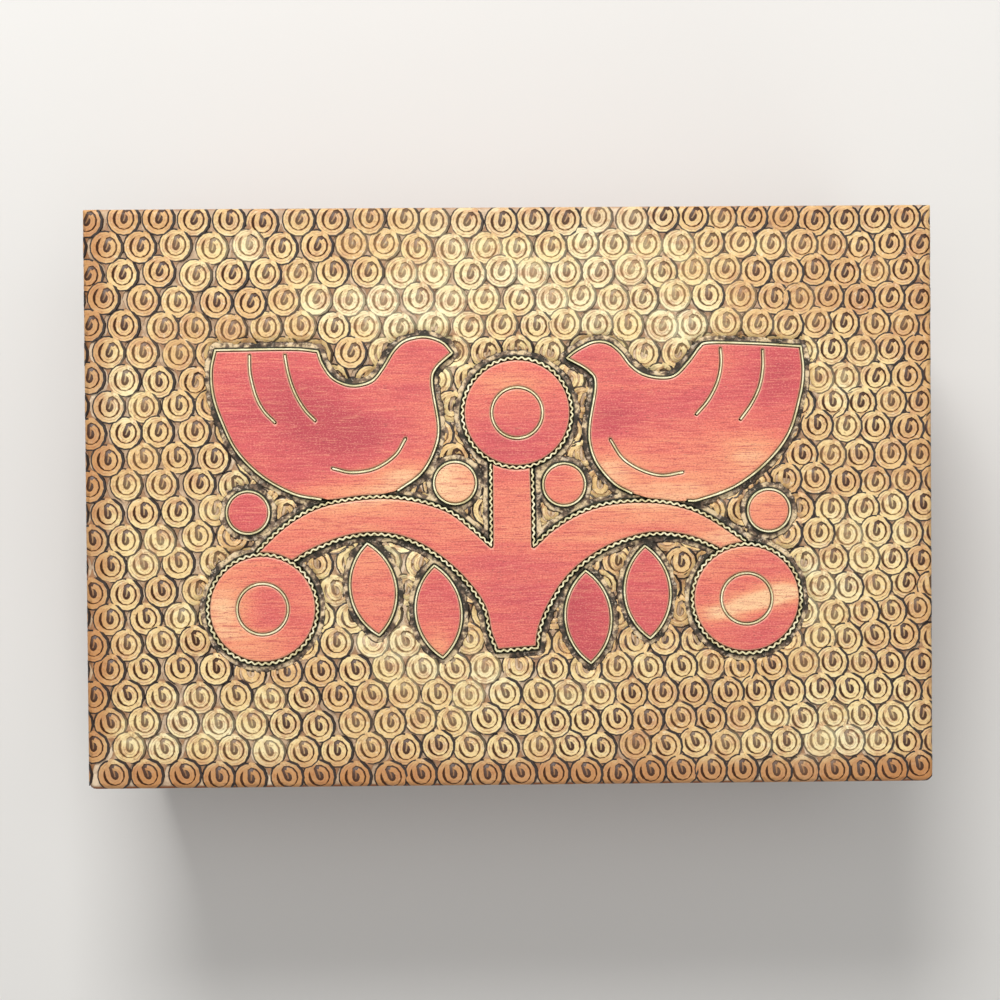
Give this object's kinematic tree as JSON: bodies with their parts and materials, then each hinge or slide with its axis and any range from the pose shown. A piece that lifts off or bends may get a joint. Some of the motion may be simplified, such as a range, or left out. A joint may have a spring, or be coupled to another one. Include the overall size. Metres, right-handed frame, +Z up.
{
  "type": "jewelry box",
  "caption": "Rectangular wooden jewelry box with a hinged lid; the lid has dyed raised fields edged in brass strip on a punched ground, and the case is finger-jointed.",
  "frame": {"origin": "centre of the box's underside", "axes": "+X along the box to the right, +Y to the back where the hinges are, +Z up through the lid"},
  "size_m": [0.18, 0.123, 0.0625],
  "materials": {
    "carved_wood": "punched, stained and dyed, with a satin wax",
    "stained_wood": "brown stain under a satin varnish",
    "plywood": "bare, sanded",
    "inlay_brass": "pale, lightly worn",
    "hinge_brass": "satin, slightly tarnished",
    "screw_brass": "satin"
  },
  "bodies": {
    "case": {"back_wall": "stained_wood", "bottom_panel": "plywood", "case_hinge_leaf_left": "hinge_brass", "case_hinge_leaf_right": "hinge_brass", "case_screw_left_1": "screw_brass", "case_screw_left_2": "screw_brass", "case_screw_right_1": "screw_brass", "case_screw_right_2": "screw_brass", "front_wall": "stained_wood", "hinge_pin_left": "hinge_brass", "hinge_pin_right": "hinge_brass", "left_wall": "stained_wood", "right_wall": "stained_wood"},
    "lid": {"lid_board": "carved_wood", "berry_inner_left_strip": "inlay_brass", "berry_inner_right_strip": "inlay_brass", "berry_outer_left_strip": "inlay_brass", "berry_outer_right_strip": "inlay_brass", "bird_left_strip": "inlay_brass", "bird_right_strip": "inlay_brass", "branch_left_strip": "inlay_brass", "branch_right_strip": "inlay_brass", "breast_left_strip": "inlay_brass", "breast_right_strip": "inlay_brass", "leaf_inner_left_strip": "inlay_brass", "leaf_inner_right_strip": "inlay_brass", "leaf_outer_left_strip": "inlay_brass", "leaf_outer_right_strip": "inlay_brass", "rosette_centre_eye_strip": "inlay_brass", "rosette_centre_strip": "inlay_brass", "rosette_left_eye_strip": "inlay_brass", "rosette_left_strip": "inlay_brass", "rosette_right_eye_strip": "inlay_brass", "rosette_right_strip": "inlay_brass", "tail_inner_left_strip": "inlay_brass", "tail_inner_right_strip": "inlay_brass", "tail_outer_left_strip": "inlay_brass", "tail_outer_right_strip": "inlay_brass", "trunk_strip": "inlay_brass", "lid_hinge_leaf_left": "hinge_brass", "lid_hinge_leaf_right": "hinge_brass", "lid_screw_left_1": "screw_brass", "lid_screw_left_2": "screw_brass", "lid_screw_right_1": "screw_brass", "lid_screw_right_2": "screw_brass"}
  },
  "joints": [
    {"name": "lid_hinge", "type": "hinge", "parent": "case", "child": "lid", "pos_m": [0, 0.05805, 0.05315], "axis": [-1, 0, 0], "range_deg": [0, 110]}
  ]
}
